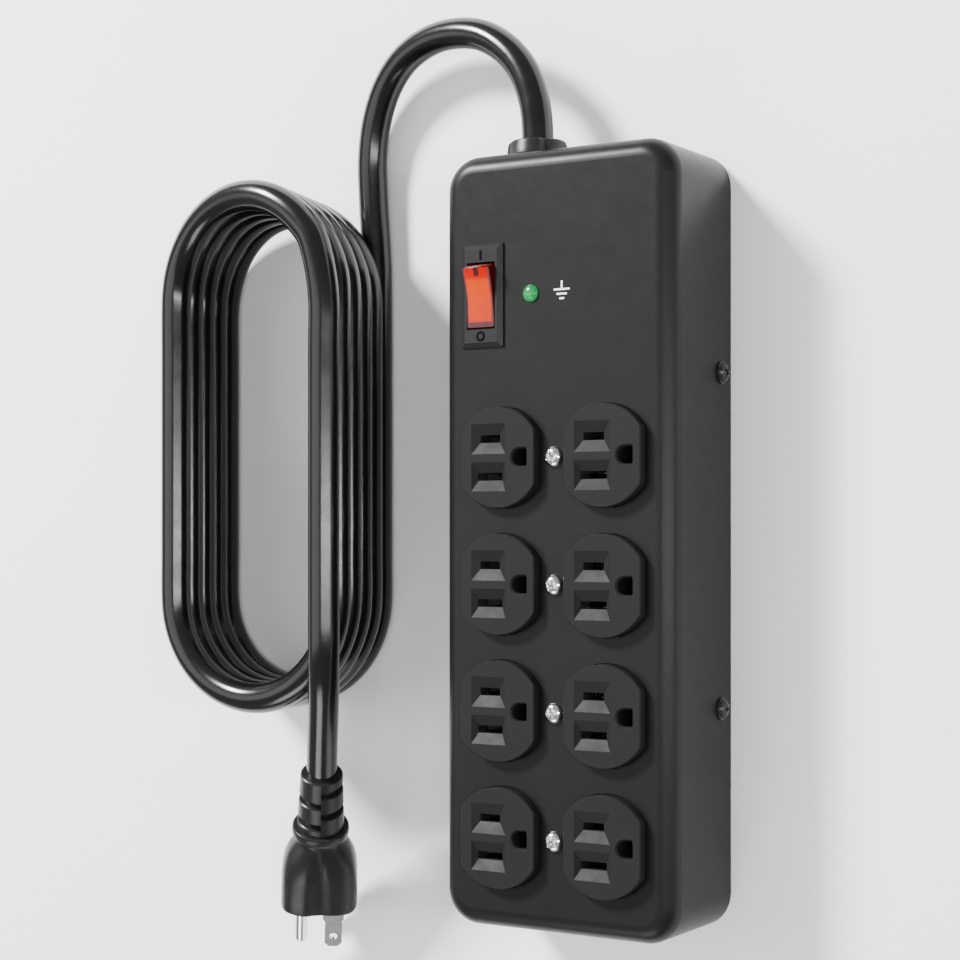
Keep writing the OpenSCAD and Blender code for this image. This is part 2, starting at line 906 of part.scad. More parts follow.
module plug_neutral_blade() {
  color(bright)
    at_plug()
      translate([blades_dx, -blade_dy, 0])
        blade(neutral_blade_w);
}

module plug_ground_pin() {
  tip_l = 2.2;
  root = plug_l - pin_root + 0.1;
  shoulder = plug_l + pin_l - tip_l;
  color(bright)
    at_plug()
      translate([pin_dx, 0, 0]) {
        translate([0, 0, root])
          cylinder(r = pin_root_r, h = pin_root, $fn = 64);
        translate([0, 0, plug_l + 0.1])
          cylinder(r = pin_r_plug, h = shoulder - plug_l - 0.1, $fn = 64);
        translate([0, 0, shoulder])
          cylinder(r1 = pin_r_plug, r2 = pin_r_plug - 0.5, h = tip_l / 2, $fn = 64);
        translate([0, 0, shoulder + tip_l / 2])
          cylinder(r1 = pin_r_plug - 0.5, r2 = pin_r_plug - 1.5, h = tip_l / 2, $fn = 64);
      }
}

// ---------- inner wires ----------

module wire_hot() {
  color([0.08, 0.08, 0.08])
    tube(smooth([
      [-29, -103, 9.8], [-29, -40, 9.8], [-29, 30, 9.8], [-29, 52, 9.8], [-28, 66, 9.8],
      [-27.4, 75, 10.2]
    ], 2), 1.3, 8);
}

module wire_hot_feed() {
  color([0.08, 0.08, 0.08])
    tube(smooth([
      [-21.2, 112, 23], [-22, 106, 21], [-24, 98, 15], [-26.4, 90, 10.6], [-27.4, 82.6, 10.2]
    ], 2), 1.2, 8);
}

module wire_neutral() {
  color([0.85, 0.85, 0.83])
    tube(smooth([
      [-18.6, 112, 24], [-17.4, 106, 23], [-10, 98, 16], [8, 84, 10.4], [20, 66, 9.8],
      [24.5, 50, 9.8], [24.5, 20, 9.8], [24.5, -40, 9.8], [24.5, -109, 9.8]
    ], 2), 1.3, 8);
}

module wire_ground() {
  color([0.12, 0.45, 0.18])
    tube(smooth([
      [-17.6, 112, 19.6], [-14, 107.5, 17], [-4, 106, 10], [10, 108, 5.6], [20.6, 111.4, 4.6]
    ], 3), 1.3, 8);
}

module ground_screw() {
  color([0.20, 0.55, 0.28])
    translate([24, 112, 0]) {
      translate([0, 0, back_t + 0.5])
        cylinder(r = 3.2, h = 0.8);
      translate([0, 0, 0.1])
        cylinder(r = 1.7, h = back_t + 1);
      difference() {
        translate([0, 0, back_t + 1.2])
          cylinder(r = 2.9, h = 2.2, $fn = 24);
        translate([-2.5, -0.4, back_t + 2.6])
          cube([5, 0.8, 2]);
      }
    }
}

// ---------- assembly ----------

front_cover();
back_plate();
side_screws();
outlet_screws();
insulation_sheet();
outlet_face(1);  // outlet_face_1
outlet_face(2);  // outlet_face_2
outlet_face(3);  // outlet_face_3
outlet_face(4);  // outlet_face_4
outlet_base(1);  // outlet_base_1
outlet_base(2);  // outlet_base_2
outlet_base(3);  // outlet_base_3
outlet_base(4);  // outlet_base_4
hot_contact(1);  // hot_contact_1
hot_contact(2);  // hot_contact_2
hot_contact(3);  // hot_contact_3
hot_contact(4);  // hot_contact_4
neutral_contact(1);  // neutral_contact_1
neutral_contact(2);  // neutral_contact_2
neutral_contact(3);  // neutral_contact_3
neutral_contact(4);  // neutral_contact_4
ground_strap(1);  // ground_strap_1
ground_strap(2);  // ground_strap_2
ground_strap(3);  // ground_strap_3
ground_strap(4);  // ground_strap_4
switch_housing();
switch_rocker();
rocker_pin();
contact_lever();
lever_cradle();
fixed_contact();
lamp_terminal();
switch_lamp();
led_lens();
indicator_board();
board_resistor();
cord_bushing();
cord_lead();
cord_coil();
cord_tail();
plug_body();
plug_hot_blade();
plug_neutral_blade();
plug_ground_pin();
wire_hot();
wire_hot_feed();
wire_neutral();
wire_ground();
ground_screw();
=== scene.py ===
import math
import bmesh
import bpy
from mathutils import Matrix, Vector
from mathutils.geometry import tessellate_polygon


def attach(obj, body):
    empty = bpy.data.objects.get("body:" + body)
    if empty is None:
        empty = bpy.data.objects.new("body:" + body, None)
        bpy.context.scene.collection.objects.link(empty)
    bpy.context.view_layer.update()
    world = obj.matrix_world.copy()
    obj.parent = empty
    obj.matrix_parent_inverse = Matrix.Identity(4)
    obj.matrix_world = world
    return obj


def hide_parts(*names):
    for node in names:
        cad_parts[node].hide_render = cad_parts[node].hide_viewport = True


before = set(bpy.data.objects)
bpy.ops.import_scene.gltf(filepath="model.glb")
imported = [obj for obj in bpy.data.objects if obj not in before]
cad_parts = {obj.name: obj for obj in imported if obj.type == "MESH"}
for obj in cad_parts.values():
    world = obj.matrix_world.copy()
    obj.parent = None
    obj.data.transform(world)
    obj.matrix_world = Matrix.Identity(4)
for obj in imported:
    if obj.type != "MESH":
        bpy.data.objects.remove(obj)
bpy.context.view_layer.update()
MM = 0.001


# ---------------------------------------------------------------- camera

# The view tilts about the length of the case, from above its right side
VIEW_TILT = math.radians(31.874)
camera_data = bpy.data.cameras.new("camera")
camera_data.lens = 76.7
camera_data.sensor_width = 36.0
camera_data.shift_y = 0.0562
camera_data.clip_start = 0.01
camera_data.clip_end = 50.0
camera = bpy.data.objects.new("camera", camera_data)
bpy.context.scene.collection.objects.link(camera)
camera.location = (0.33694, 0.00222, 0.63166)
camera.rotation_euler = (0.0, VIEW_TILT, 0.0)
bpy.context.scene.camera = camera


# ---------------------------------------------------------------- small tools

def mm(points):
    """Points in millimetres as vectors in metres."""
    return [Vector(p) * MM for p in points]


def smooth_path(points, step, pieces=12):
    """Points a step apart along a smooth curve through the given points."""
    dense = []
    for i in range(len(points) - 1):
        a = points[max(i - 1, 0)]
        b = points[i]
        c = points[i + 1]
        d = points[min(i + 2, len(points) - 1)]
        for k in range(pieces):
            t = k / pieces
            dense.append(0.5 * ((2 * b) + (c - a) * t + (2 * a - 5 * b + 4 * c - d) * t * t
                                + (3 * b - a - 3 * c + d) * t ** 3))
    dense.append(points[-1].copy())
    out = [dense[0]]
    carry = 0.0
    for p, q in zip(dense, dense[1:]):
        gap = (q - p).length
        along = step - carry
        while along <= gap and gap > 0:
            out.append(p.lerp(q, along / gap))
            along += step
        carry = (carry + gap) % step
    if (out[-1] - dense[-1]).length > 0.3 * step:
        out.append(dense[-1])
    else:
        out[-1] = dense[-1]
    return out


def place(obj, body="case"):
    """Puts a new piece in the scene, riding on a body."""
    if obj.name not in bpy.context.scene.collection.objects:
        bpy.context.scene.collection.objects.link(obj)
    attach(obj, body)
    return obj


def mesh_piece(name, verts, faces, material, body="case", smooth_angle=35.0, matrix=None):
    """A mesh object from plain lists, shaded smooth below the given angle."""
    me = bpy.data.meshes.new(name)
    me.from_pydata([tuple(v) for v in verts], [], faces)
    bm = bmesh.new()
    bm.from_mesh(me)
    bmesh.ops.remove_doubles(bm, verts=bm.verts, dist=1e-6)
    bmesh.ops.recalc_face_normals(bm, faces=bm.faces)
    bm.to_mesh(me)
    bm.free()
    if matrix is not None:
        me.transform(matrix)
    for p in me.polygons:
        p.use_smooth = True
    me.set_sharp_from_angle(angle=math.radians(smooth_angle))
    me.materials.append(material)
    obj = bpy.data.objects.new(name, me)
    return place(obj, body)


def loft(rings, close_start=True, close_end=True):
    """Vertices and faces of a skin over closed rings of equal length."""
    n = len(rings[0])
    verts = [p for ring in rings for p in ring]
    faces = []
    for i in range(len(rings) - 1):
        for k in range(n):
            faces.append((i * n + k, i * n + (k + 1) % n,
                          (i + 1) * n + (k + 1) % n, (i + 1) * n + k))
    if close_start:
        faces.append(tuple(range(n - 1, -1, -1)))
    if close_end:
        faces.append(tuple((len(rings) - 1) * n + k for k in range(n)))
    return verts, faces


def around(segments):
    """Angles of equal steps round a full circle."""
    return [2 * math.pi * k / segments for k in range(segments)]


def lathe(profile, segments=48):
    """Rings about the Z axis from (radius, height) pairs."""
    return [[Vector((r * math.cos(a), r * math.sin(a), z)) for a in around(segments)]
            for r, z in profile]


def merge(parts):
    """Joins several (verts, faces) into one pair of lists."""
    verts, faces = [], []
    for v, f in parts:
        base = len(verts)
        verts += list(v)
        faces += [tuple(base + i for i in face) for face in f]
    return verts, faces


def poly_curve(name, points, radius, resolution, material):
    """Curve data of a round line through points in metres."""
    curve = bpy.data.curves.new(name, "CURVE")
    curve.dimensions = "3D"
    curve.bevel_depth = radius
    curve.bevel_resolution = resolution
    spline = curve.splines.new("POLY")
    spline.points.add(len(points) - 1)
    for point, co in zip(spline.points, points):
        point.co = (*co, 1.0)
    curve.materials.append(material)
    return curve


def soften_edges(node, width, angle):
    """Rounds the edges of a node that are sharper than an angle in degrees."""
    bevel = node.modifiers.new("edge", "BEVEL")
    bevel.width = width * MM
    bevel.segments = 2
    bevel.limit_method = "ANGLE"
    bevel.angle_limit = math.radians(angle)


# ---------------------------------------------------------------- materials

def new_material(name):
    """A node material with its shader and a source of object coordinates."""
    m = bpy.data.materials.new(name)
    m.use_nodes = True
    nt = m.node_tree
    bsdf = nt.nodes["Principled BSDF"]
    coord = nt.nodes.new("ShaderNodeTexCoord")
    return m, nt, bsdf, coord


def noise_node(nt, coord, scale, detail=4.0, rough=0.55, stretch=None):
    """Noise in object coordinates, stretched if asked."""
    n = nt.nodes.new("ShaderNodeTexNoise")
    n.inputs["Scale"].default_value = scale
    n.inputs["Detail"].default_value = detail
    n.inputs["Roughness"].default_value = rough
    if stretch is None:
        nt.links.new(coord.outputs["Object"], n.inputs["Vector"])
    else:
        mapping = nt.nodes.new("ShaderNodeMapping")
        mapping.inputs["Scale"].default_value = stretch
        nt.links.new(coord.outputs["Object"], mapping.inputs["Vector"])
        nt.links.new(mapping.outputs["Vector"], n.inputs["Vector"])
    return n


def ramp_node(nt, source, stops):
    """Colour ramp over (position, colour) stops."""
    r = nt.nodes.new("ShaderNodeValToRGB")
    r.color_ramp.elements[0].position = stops[0][0]
    r.color_ramp.elements[0].color = (*stops[0][1], 1.0)
    r.color_ramp.elements[1].position = stops[-1][0]
    r.color_ramp.elements[1].color = (*stops[-1][1], 1.0)
    for pos, col in stops[1:-1]:
        e = r.color_ramp.elements.new(pos)
        e.color = (*col, 1.0)
    nt.links.new(source, r.inputs["Fac"])
    return r


def range_node(nt, source, low, high, out_low, out_high):
    """Maps low..high to out_low..out_high, clamped."""
    n = nt.nodes.new("ShaderNodeMapRange")
    n.inputs["From Min"].default_value = low
    n.inputs["From Max"].default_value = high
    n.inputs["To Min"].default_value = out_low
    n.inputs["To Max"].default_value = out_high
    nt.links.new(source, n.inputs["Value"])
    return n


def mix_node(nt, factor, first, second, blend="MIX"):
    """Mixes two colours, each a socket or a fixed colour."""
    n = nt.nodes.new("ShaderNodeMix")
    n.data_type = "RGBA"
    n.blend_type = blend
    for name, value in (("Factor", factor), ("A", first), ("B", second)):
        if isinstance(value, bpy.types.NodeSocket):
            nt.links.new(value, n.inputs[name])
        elif name == "Factor":
            n.inputs[name].default_value = value
        else:
            n.inputs[name].default_value = (*value, 1.0)
    return n.outputs["Result"]


def math_node(nt, operation, first, second=None):
    """One sum of a socket with a socket or a number."""
    n = nt.nodes.new("ShaderNodeMath")
    n.operation = operation
    nt.links.new(first, n.inputs[0])
    if isinstance(second, bpy.types.NodeSocket):
        nt.links.new(second, n.inputs[1])
    elif second is not None:
        n.inputs[1].default_value = second
    return n.outputs["Value"]


def axes_node(nt, source):
    """Splits a vector into its three axes."""
    n = nt.nodes.new("ShaderNodeSeparateXYZ")
    nt.links.new(source, n.inputs["Vector"])
    return n


def bump_node(nt, source, strength, distance, normal=None):
    """Small relief from a height, over another normal if given."""
    b = nt.nodes.new("ShaderNodeBump")
    b.inputs["Strength"].default_value = strength
    b.inputs["Distance"].default_value = distance
    nt.links.new(source, b.inputs["Height"])
    if normal is not None:
        nt.links.new(normal, b.inputs["Normal"])
    return b


def surface(name, dark, light, rough, rough_spread=0.06, grain=2200.0, grain_depth=0.00004,
            grain_strength=0.25, patch=28.0, metallic=0.0, coat=0.0, scratch=0.0, dust=0.0,
            ripple=0.0, specular=0.5):
    """Moulded, painted or plated surface: blotchy tone, fine grain, faint scratches and dust."""
    m, nt, bsdf, coord = new_material(name)
    blotch = noise_node(nt, coord, patch, 5.0, 0.6)
    tone = ramp_node(nt, blotch.outputs["Fac"], [(0.30, dark), (0.70, light)])
    colour = tone.outputs["Color"]
    rough_noise = noise_node(nt, coord, patch * 7, 4.0, 0.65)
    rough_value = range_node(nt, rough_noise.outputs["Fac"], 0.3, 0.7,
                             rough - rough_spread, rough + rough_spread)
    fine = noise_node(nt, coord, grain, 3.0, 0.6)
    bump = bump_node(nt, fine.outputs["Fac"], grain_strength, grain_depth)
    normal = bump.outputs["Normal"]
    if ripple > 0:
        wave = noise_node(nt, coord, 160.0, 2.0, 0.5)
        wide = bump_node(nt, wave.outputs["Fac"], ripple, 0.0002, normal)
        normal = wide.outputs["Normal"]
    if scratch > 0:
        lines = noise_node(nt, coord, 90.0, 6.0, 0.75, (1.0, 14.0, 3.0))
        mask = range_node(nt, lines.outputs["Fac"], 0.66, 0.74, 0.0, scratch)
        scuffed = tuple(min(1.0, c * 2.2 + 0.03) for c in light)
        colour = mix_node(nt, mask.outputs["Result"], colour, scuffed)
    if dust > 0:
        geometry = nt.nodes.new("ShaderNodeNewGeometry")
        facing = axes_node(nt, geometry.outputs["Normal"])
        up = range_node(nt, facing.outputs["Z"], 0.3, 1.0, 0.0, 1.0)
        speck = noise_node(nt, coord, 700.0, 6.0, 0.7)
        spots = range_node(nt, speck.outputs["Fac"], 0.60, 0.72, 0.0, dust)
        both = math_node(nt, "MULTIPLY", up.outputs["Result"], spots.outputs["Result"])
        colour = mix_node(nt, both, colour, (0.32, 0.31, 0.29))
    nt.links.new(colour, bsdf.inputs["Base Color"])
    nt.links.new(rough_value.outputs["Result"], bsdf.inputs["Roughness"])
    nt.links.new(normal, bsdf.inputs["Normal"])
    bsdf.inputs["Metallic"].default_value = metallic
    bsdf.inputs["Coat Weight"].default_value = coat
    bsdf.inputs["Coat Roughness"].default_value = 0.12
    bsdf.inputs["Specular IOR Level"].default_value = specular
    return m


def grey(v):
    """A neutral tone, a touch cool."""
    return (v, v, v * 1.02)


CASE = surface("powder_coat", grey(0.0070), grey(0.0080), 0.34, 0.03, grain=1500.0,
               grain_depth=0.00005, grain_strength=0.08, scratch=0.012, dust=0.012, ripple=0.02,
               specular=0.13)
OUTLET = surface("outlet_plastic", grey(0.0118), grey(0.0132), 0.46, 0.05, grain=3800.0,
                 grain_depth=0.00003, grain_strength=0.10, dust=0.008, specular=0.06)
BASE = surface("base_plastic", grey(0.10), grey(0.13), 0.5, 0.06)
SWITCH = surface("switch_plastic", grey(0.0125), grey(0.0145), 0.30, 0.04, grain=3200.0,
                 grain_depth=0.00002, grain_strength=0.06, dust=0.006, specular=0.15)
CORD = surface("cord_vinyl", grey(0.0035), grey(0.005), 0.20, 0.03, grain=1600.0,
               grain_depth=0.00003, grain_strength=0.03, ripple=0.012, specular=0.4)
PLUG = surface("plug_vinyl", grey(0.0105), grey(0.0125), 0.30, 0.05, grain=2600.0,
               grain_depth=0.00003, grain_strength=0.08, dust=0.004, specular=0.16)
BLACK_SCREW = surface("black_screw", grey(0.022), grey(0.034), 0.34, 0.08, grain=2600.0,
                      metallic=0.6, scratch=0.15)
NICKEL = surface("nickel_plate", (0.72, 0.71, 0.69), (0.80, 0.79, 0.77), 0.16, 0.06, patch=120.0,
                 grain=3000.0, grain_depth=0.00002, grain_strength=0.12, metallic=1.0, scratch=0.2)
BRASS = surface("brass", (0.62, 0.44, 0.17), (0.78, 0.58, 0.26), 0.28, 0.08, patch=90.0,
                metallic=1.0, scratch=0.15)
FIBRE = surface("fibre_sheet", (0.50, 0.46, 0.36), (0.62, 0.58, 0.46), 0.8, 0.08, patch=60.0,
                grain=1400.0, grain_depth=0.0001)
BOARD = surface("circuit_board", (0.02, 0.12, 0.05), (0.03, 0.17, 0.07), 0.35, 0.06, patch=200.0)
RESISTOR = surface("resistor_lacquer", (0.55, 0.42, 0.26), (0.68, 0.54, 0.34), 0.4, 0.06, patch=400.0)
WIRE_BLACK = surface("wire_black", grey(0.02), grey(0.03), 0.35, 0.05)
WIRE_WHITE = surface("wire_white", (0.70, 0.70, 0.67), (0.80, 0.80, 0.77), 0.38, 0.05)
WIRE_GREEN = surface("wire_green", (0.03, 0.26, 0.08), (0.05, 0.34, 0.11), 0.38, 0.05)
LAMP = surface("lamp_glass", (0.9, 0.45, 0.2), (1.0, 0.55, 0.28), 0.1, 0.03)
PRINT_BLACK = surface("black_mark", grey(0.0012), grey(0.0020), 0.60, 0.05, patch=300.0, specular=0.03)
PRINT = surface("white_print", (0.78, 0.78, 0.76), (0.86, 0.86, 0.84), 0.5, 0.05, patch=300.0)


# ---------------------------------------------------------------- cord

CORD_D = 11.0 * MM
LEAD = [
    (-19, 113, 21.5), (-19, 126, 21.5), (-19, 141, 21.5), (-20.5, 152, 21.4), (-25, 163, 21),
    (-33, 171.9, 20), (-44, 178.3, 18.5), (-57, 180.8, 16.5), (-69.5, 179.8, 14.2),
    (-81, 175, 12), (-90, 166.5, 9.8), (-96, 155, 7.9), (-98.8, 142, 6.6),
    (-99, 128, 5.9), (-98.2, 114, 5.7), (-97.4, 102, 5.7), (-97.2, 92, 5.7)]
TAIL = [
    (-83, 86, 59.05), (-82.8, 66, 59.05), (-82.8, 44, 59.05),
    (-82.8, 20, 59.05), (-82.8, -4, 59.05), (-82.8, -24, 59.05), (-82.9, -36, 58.9),
    (-83.8, -43.7, 57.8), (-85.5, -51.2, 55.4), (-89.1, -61, 50.8),
    (-93.5, -72.3, 45.3), (-97.5, -83.2, 40.2)]
COIL_TOP_X = -122.0
COIL_LEAN = 2.85
COIL_R = 36.3
COIL_Y1 = 86.5
COIL_Y2 = -20.7
COIL_LAYERS = 5
COIL_Z = 5.6
COIL_STEP = 10.65
COIL_LEAD_IN = 12.0
STRAIGHT_POINTS = 7
ARC_POINTS = 13
CLIMB_POINTS = 9


def coil_layer(j):
    """Centre x and height of one layer of the coil."""
    return COIL_TOP_X - COIL_LEAN * (COIL_LAYERS - 1 - j), COIL_Z + COIL_STEP * j


def coil_points():
    """Down the right side, round the far end, up the left side and over to the next layer."""
    out = []
    for j in range(COIL_LAYERS):
        x, z = coil_layer(j)
        x_next, z_next = coil_layer(j + 1)
        top = COIL_Y1 - COIL_LEAD_IN if j == 0 else COIL_Y1
        for k in range(STRAIGHT_POINTS):
            out.append((x + COIL_R, top + (COIL_Y2 - top) * k / STRAIGHT_POINTS, z))
        for k in range(ARC_POINTS):
            a = math.pi * k / ARC_POINTS
            out.append((x + COIL_R * math.cos(a), COIL_Y2 - COIL_R * math.sin(a), z))
        for k in range(STRAIGHT_POINTS):
            out.append((x - COIL_R, COIL_Y2 + (COIL_Y1 - COIL_Y2) * k / STRAIGHT_POINTS, z))
        # the last turn stops one point short, where the tail takes over
        last = ARC_POINTS - 1 if j == COIL_LAYERS - 1 else ARC_POINTS
        for k in range(last):
            a = math.pi * k / ARC_POINTS
            t = min(1.0, k / CLIMB_POINTS)
            t = t * t * (3 - 2 * t)
            out.append((x + (x_next - x) * t - COIL_R * math.cos(a),
                        COIL_Y1 + COIL_R * math.sin(a), z + (z_next - z) * t))
    return out


cord_line = smooth_path(mm(LEAD + coil_points() + TAIL), 2.5 * MM)
cord_curve = poly_curve("mains_cord", cord_line, CORD_D / 2, 8, CORD)
cord_curve.use_fill_caps = True
cord_curve.splines[0].use_smooth = True
cord = place(bpy.data.objects.new("mains_cord", cord_curve))
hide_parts("cord_lead", "cord_coil", "cord_tail")


# ---------------------------------------------------------------- plug

PLUG_O = Vector((-97.5, -83.2, 40.2)) * MM
PLUG_A = Vector((-0.3143, -0.8607, -0.4003)).normalized()
PLUG_N = PLUG_A.cross(Vector((0.8087, -0.0198, -0.5879))).normalized()
PLUG_R = PLUG_N.cross(PLUG_A)
PLUG_M = Matrix((
    (PLUG_R.x, PLUG_N.x, PLUG_A.x, PLUG_O.x),
    (PLUG_R.y, PLUG_N.y, PLUG_A.y, PLUG_O.y),
    (PLUG_R.z, PLUG_N.z, PLUG_A.z, PLUG_O.z),
    (0, 0, 0, 1)))
RELIEF_L = 23.0
COLLAR_L = 4.0
BODY_L = 31.0
PLUG_L = RELIEF_L + COLLAR_L + BODY_L
GRIP_START = RELIEF_L + 5.5
GRIP_BLEND = 9.0


def super_ring(half_w, half_h, z, power, segments=72):
    """Closed ring between an ellipse (power 2) and a rounded rectangle."""
    ring = []
    for a in around(segments):
        c, s = math.cos(a), math.sin(a)
        ring.append(Vector((half_w * math.copysign(abs(c) ** (2 / power), c),
                            half_h * math.copysign(abs(s) ** (2 / power), s), z)) * MM)
    return ring


def half_ring(side, r, z, n=26):
    """Closed half circle on the blade side (+1) or the pin side (-1)."""
    ring = [Vector((side * r * math.sin(math.pi * i / n), -r * math.cos(math.pi * i / n), z)) * MM
            for i in range(n + 1)]
    return ring + [Vector((0.0, r * 0.5, z)) * MM, Vector((0.0, -r * 0.5, z)) * MM]


def plug_relief():
    """Strain relief: a core with two staggered slots on each side."""
    parts = [loft([super_ring(6.1, 6.1, -0.5, 2), super_ring(6.1, 6.1, RELIEF_L, 2)])]
    bands = {1: ((0.0, 3.7), (6.2, 13.0), (15.5, RELIEF_L)),
             -1: ((0.0, 8.4), (10.9, 17.7), (20.2, RELIEF_L))}
    for side, spans in bands.items():
        for low, high in spans:
            levels = ((low, 0.4), (low + 0.35, 0.0), (high - 0.35, 0.0), (high, 0.4))
            parts.append(loft([half_ring(side, 7.55 + 0.045 * z - inset, z) for z, inset in levels]))
    return merge(parts)


def plug_shell():
    """Collar, waist and flared grip with a flat face for the pins."""
    sections = [
        (0.0, 8.4, 8.4, 2.0), (0.05, 9.9, 9.6, 2.1), (0.5, 10.4, 10.0, 2.1), (3.3, 10.4, 10.0, 2.1),
        (3.9, 9.9, 9.5, 2.1), (4.1, 8.9, 8.8, 2.1), (5.2, 8.7, 8.6, 2.2), (6.8, 9.4, 8.9, 2.3),
        (9.0, 10.8, 9.4, 2.4), (11.5, 12.1, 9.9, 2.6), (14.5, 13.1, 10.3, 2.9), (18.0, 13.7, 10.6, 3.2),
        (22.0, 13.95, 10.7, 3.5), (28.0, 14.05, 10.75, 3.7), (34.0, 14.1, 10.8, 3.8),
        (34.7, 14.0, 10.7, 3.8), (35.0, 13.6, 10.3, 3.8), (35.0, 11.0, 8.0, 3.4), (35.0, 5.0, 4.0, 3.0)]
    return loft([super_ring(w, h, RELIEF_L + z, power) for z, w, h, power in sections])


def grip_share(z):
    """0 at the waist, 1 where the grip has its full form."""
    return min(1.0, max(0.0, (z - GRIP_START) / GRIP_BLEND))


def grip_scale(x, z):
    """Thickness factor: rounded pin lobe, a narrow valley, then a flat blade panel."""
    valley = 1.25 * math.exp(-((x + 0.9) / 0.95) ** 2)
    lobe = 0.55 * math.exp(-((x + 5.4) / 3.0) ** 2)
    return 1.0 - grip_share(z) * (valley - lobe) / 10.5


def shape_grip(v):
    """Moves a point of the shell in or out to the form of the grip."""
    return Vector((v.x, v.y * grip_scale(v.x / MM, v.z / MM), v.z))


verts, faces = plug_shell()
verts = [shape_grip(v) for v in verts]
plug_body = mesh_piece("plug_moulding", verts, faces, PLUG, smooth_angle=40, matrix=PLUG_M)
subdivide = plug_body.modifiers.new("rounding", "SUBSURF")
subdivide.levels = 1
subdivide.render_levels = 2
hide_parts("plug_body")
verts, faces = plug_relief()
plug_relief_piece = mesh_piece("plug_relief", verts, faces, PLUG, smooth_angle=40, matrix=PLUG_M)


def seam_line(side):
    """Parting line of the moulding, along the face of the grip beside the valley."""
    x, steps = 0.9, 23
    points = []
    for k in range(steps + 1):
        z = RELIEF_L + 7.5 + (PLUG_L - RELIEF_L - 8.5) * k / steps
        half = (8.95 + 1.83 * grip_share(z) ** 0.7) * grip_scale(x, z)
        points.append((x, side * (half + 0.01), z))
    return [PLUG_M @ (Vector(p) * MM) for p in points]


for side, name in ((1, "plug_seam_near"), (-1, "plug_seam_far")):
    seam_curve = poly_curve(name, seam_line(side), 0.11 * MM, 2, PLUG)
    place(bpy.data.objects.new(name, seam_curve))


# ---------------------------------------------------------------- bushing

CORD_X, CORD_Z = -19.0, 21.5
END_WALL_Y = 131.0


def notch_depth(a):
    """How deep the nearest of the four grip notches is at an angle."""
    deepest = 0.0
    for centre in (0.25, 0.75, 1.25, 1.75):
        d = (a - centre * math.pi + math.pi) % (2 * math.pi) - math.pi
        deepest = max(deepest, 0.9 * max(0.0, 1 - abs(d) / 0.16) ** 0.5)
    return deepest


def bushing_mesh():
    """Snap bushing: round head with a flared collar, four grip notches and a short barrel."""
    profile = [(8.5, -9.0), (8.5, -0.1), (10.9, 0.05), (10.9, 1.2), (10.6, 1.6), (10.3, 4.6),
               (9.9, 5.9), (9.3, 6.35), (8.2, 6.4), (7.2, 6.1), (6.0, 5.7), (5.55, 5.2), (5.55, -9.0)]
    rings = []
    for radius, z in profile:
        ring = []
        for a in around(96):
            notched = 1.2 < z < 6.38 and radius > 9.0
            r = radius - notch_depth(a) if notched else radius
            ring.append(Vector((CORD_X + r * math.cos(a), END_WALL_Y + z, CORD_Z + r * math.sin(a))) * MM)
        rings.append(ring)
    return loft(rings, False, False)


verts, faces = bushing_mesh()
bushing = mesh_piece("strain_bushing", verts, faces, PLUG, smooth_angle=32)
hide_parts("cord_bushing")


# ---------------------------------------------------------------- outlets

PANEL_Z = 43.5
FACE_Z = PANEL_Z + 3.8
COLUMNS = (-19.8, 19.8)
ROWS = [27.8 - 42.5 * i for i in range(4)]
FACE_R = 17.0
FACE_FLAT = 14.25
FUNNEL_X, FUNNEL_W = -3.4, 13.4
SLOT_X, SLOT_H = -3.75, 2.5
GROUND_X = 8.5


def face_ring(inset, z, segments=88):
    """Circle with two flats parallel to Y."""
    r = FACE_R - inset
    flat = FACE_FLAT - inset
    ring = []
    for k in range(segments):
        a = 2 * math.pi * (k + 0.5) / segments
        x, y = r * math.cos(a), r * math.sin(a)
        ring.append((max(-flat, min(flat, x)), y, z))
    return ring


def rect_ring(cx, cy, w, h, z):
    """Rectangle about a centre."""
    return [(cx - w / 2, cy - h / 2, z), (cx + w / 2, cy - h / 2, z),
            (cx + w / 2, cy + h / 2, z), (cx - w / 2, cy + h / 2, z)]


def ground_ring(r, flat, z, segments=40):
    """Ground opening: round, with its +X side cut straight."""
    ring = []
    for a in around(segments):
        x, y = r * math.cos(a), r * math.sin(a)
        if x > 0 and abs(y) > 0.3 * r:
            y = math.copysign(min(r, abs(y) + x * 0.55), y)
        ring.append((GROUND_X + min(x, flat), max(-r, min(r, y)), z))
    return ring


def flat_cap(outer, holes):
    """Flat face between an outline and the holes in it."""
    loops = [outer] + holes
    verts = [p for loop in loops for p in loop]
    faces = [tuple(tri) for tri in tessellate_polygon([[Vector(p) for p in loop] for loop in loops])]
    return verts, faces


def outlet_mesh():
    """One outlet face with two blade funnels and a ground opening."""
    rim = face_ring(0.30, FACE_Z)
    throat = FACE_Z - 1.9
    funnels, slots = [], []
    for y, funnel_h, slot_w in ((6.35, 10.2, 7.6), (-6.35, 9.8, 9.6)):
        mouth = rect_ring(SLOT_X, y, slot_w + 0.1, SLOT_H + 0.1, throat)
        funnels.append(rect_ring(FUNNEL_X, y, FUNNEL_W, funnel_h, FACE_Z))
        slots.append(loft([funnels[-1], mouth], False, False))
        slots.append(loft([mouth, rect_ring(SLOT_X, y, slot_w, SLOT_H, throat - 0.2),
                           rect_ring(SLOT_X, y, slot_w, SLOT_H, throat - 6.5)], False, False))
    chamfer = ground_ring(3.45, 3.1, FACE_Z)
    wall = loft([face_ring(0.0, 40.0), face_ring(0.0, FACE_Z - 0.32), rim], False, False)
    ground = loft([chamfer, ground_ring(2.9, 3.0, FACE_Z - 0.6), ground_ring(2.9, 3.0, FACE_Z - 8.0)],
                  False, False)
    return merge([wall, flat_cap(rim, funnels + [chamfer]), *slots, ground])


